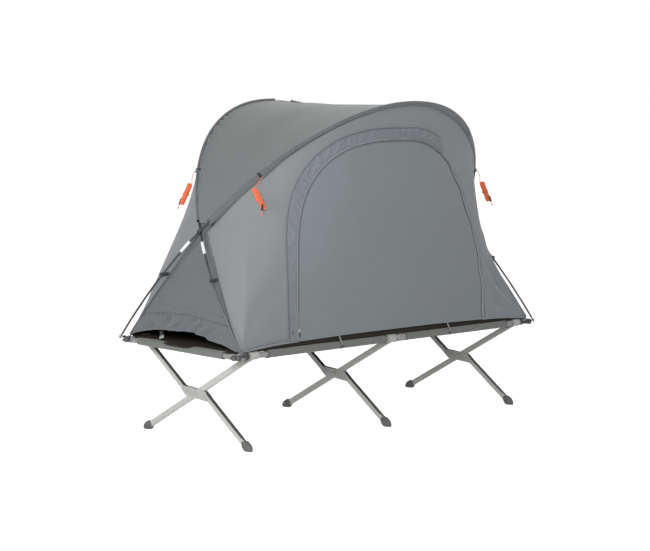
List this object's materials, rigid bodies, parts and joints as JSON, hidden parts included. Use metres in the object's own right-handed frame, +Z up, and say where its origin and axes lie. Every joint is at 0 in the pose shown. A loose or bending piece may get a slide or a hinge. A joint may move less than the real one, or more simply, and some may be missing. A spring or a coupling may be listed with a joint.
{
  "type": "cot tent",
  "caption": "Folding scissor-leg camp bed with a two-arch tent on top, a hinged zip door, end bars that lift off and corded guy lines.",
  "frame": {"origin": "on the ground, under the middle of the bed, midway between the rails and between the end bars", "axes": "+X along the bed, +Z up, and the door side faces -Y"},
  "size_m": [1.9234, 0.9067, 1.4292],
  "materials": {
    "rail_tube": "powder coat, satin",
    "leg_tube": "powder coat, satin",
    "fitting": "powder coat, satin",
    "bolt": "zinc plated",
    "foot": "moulded, matt",
    "sling": "coated weave",
    "pole": "wrapped fibreglass, satin",
    "canopy": "coated polyester",
    "door": "coated polyester",
    "floor": "coated weave",
    "webbing": "woven webbing",
    "zip": "nylon coil and painted pull",
    "guy_cord": "braided cord"
  },
  "bodies": {
    "near_side": {"near_rail_left": "rail_tube", "near_rail_right": "rail_tube", "near_middle_hinge": "fitting", "near_bracket_left": "fitting", "near_bracket_right": "fitting", "near_end_plug_left": "foot", "near_end_plug_right": "foot", "straight_leg_left": "leg_tube", "straight_leg_middle": "leg_tube", "straight_leg_right": "leg_tube", "far_foot_left": "foot", "far_foot_middle": "foot", "far_foot_right": "foot", "pivot_bolt_left": "bolt", "pivot_bolt_middle": "bolt", "pivot_bolt_right": "bolt", "bed_sling": "sling"},
    "far_side": {"far_rail_left": "rail_tube", "far_rail_right": "rail_tube", "far_middle_hinge": "fitting", "far_bracket_left": "fitting", "far_bracket_right": "fitting", "far_end_plug_left": "foot", "far_end_plug_right": "foot", "upper_half_leg_left": "leg_tube", "upper_half_leg_middle": "leg_tube", "upper_half_leg_right": "leg_tube", "lower_half_leg_left": "leg_tube", "lower_half_leg_middle": "leg_tube", "lower_half_leg_right": "leg_tube", "saddle_left": "fitting", "saddle_middle": "fitting", "saddle_right": "fitting", "near_foot_left": "foot", "near_foot_middle": "foot", "near_foot_right": "foot"},
    "end_bar_left": {"end_bar_left": "rail_tube"},
    "end_bar_right": {"end_bar_right": "rail_tube"},
    "tent": {"near_arch_pole": "pole", "far_arch_pole": "pole", "near_pole_sleeve": "canopy", "far_pole_sleeve_left": "canopy", "far_pole_sleeve_right": "canopy", "roof_panel": "canopy", "near_side_panel": "canopy", "far_side_panel": "canopy", "left_end_panel": "canopy", "right_end_panel": "canopy", "tent_floor": "floor", "storm_flap": "canopy", "corner_strap_near_left": "webbing", "corner_strap_near_right": "webbing", "corner_strap_far_left": "webbing", "corner_strap_far_right": "webbing", "guy_cord_near_left": "guy_cord", "guy_cord_near_right": "guy_cord", "guy_cord_far_left": "guy_cord", "guy_cord_far_right": "guy_cord"},
    "door": {"door_panel": "door"},
    "zip_slider": {"zip_slider": "zip"}
  },
  "joints": [
    {"name": "frame_fold", "type": "hinge", "parent": "near_side", "child": "far_side", "pos_m": [0, 0, 0.19613], "axis": [1, 0, 0], "range_deg": [0, 112], "deforming": ["bed_sling", "tent_floor", "left_end_panel", "right_end_panel"]},
    {"name": "end_bar_left_pull", "type": "slide", "parent": "near_side", "child": "end_bar_left", "axis": [-1, 0, 0], "range_m": [0, 0.05]},
    {"name": "end_bar_right_pull", "type": "slide", "parent": "near_side", "child": "end_bar_right", "axis": [1, 0, 0], "range_m": [0, 0.05]},
    {"name": "tent_lift", "type": "slide", "parent": "near_side", "child": "tent", "axis": [0, 0, 1], "range_m": [0, 0.15], "deforming": ["corner_strap_near_left", "corner_strap_near_right", "corner_strap_far_left", "corner_strap_far_right"]},
    {"name": "door_swing", "type": "hinge", "parent": "tent", "child": "door", "pos_m": [0, -0.3462, 0.437], "axis": [1, 0, 0], "range_deg": [0, 100]},
    {"name": "zip_travel", "type": "slide", "parent": "tent", "child": "zip_slider", "axis": [0.0043, 0.0372, 0.9993], "range_m": [0, 0.15]}
  ]
}
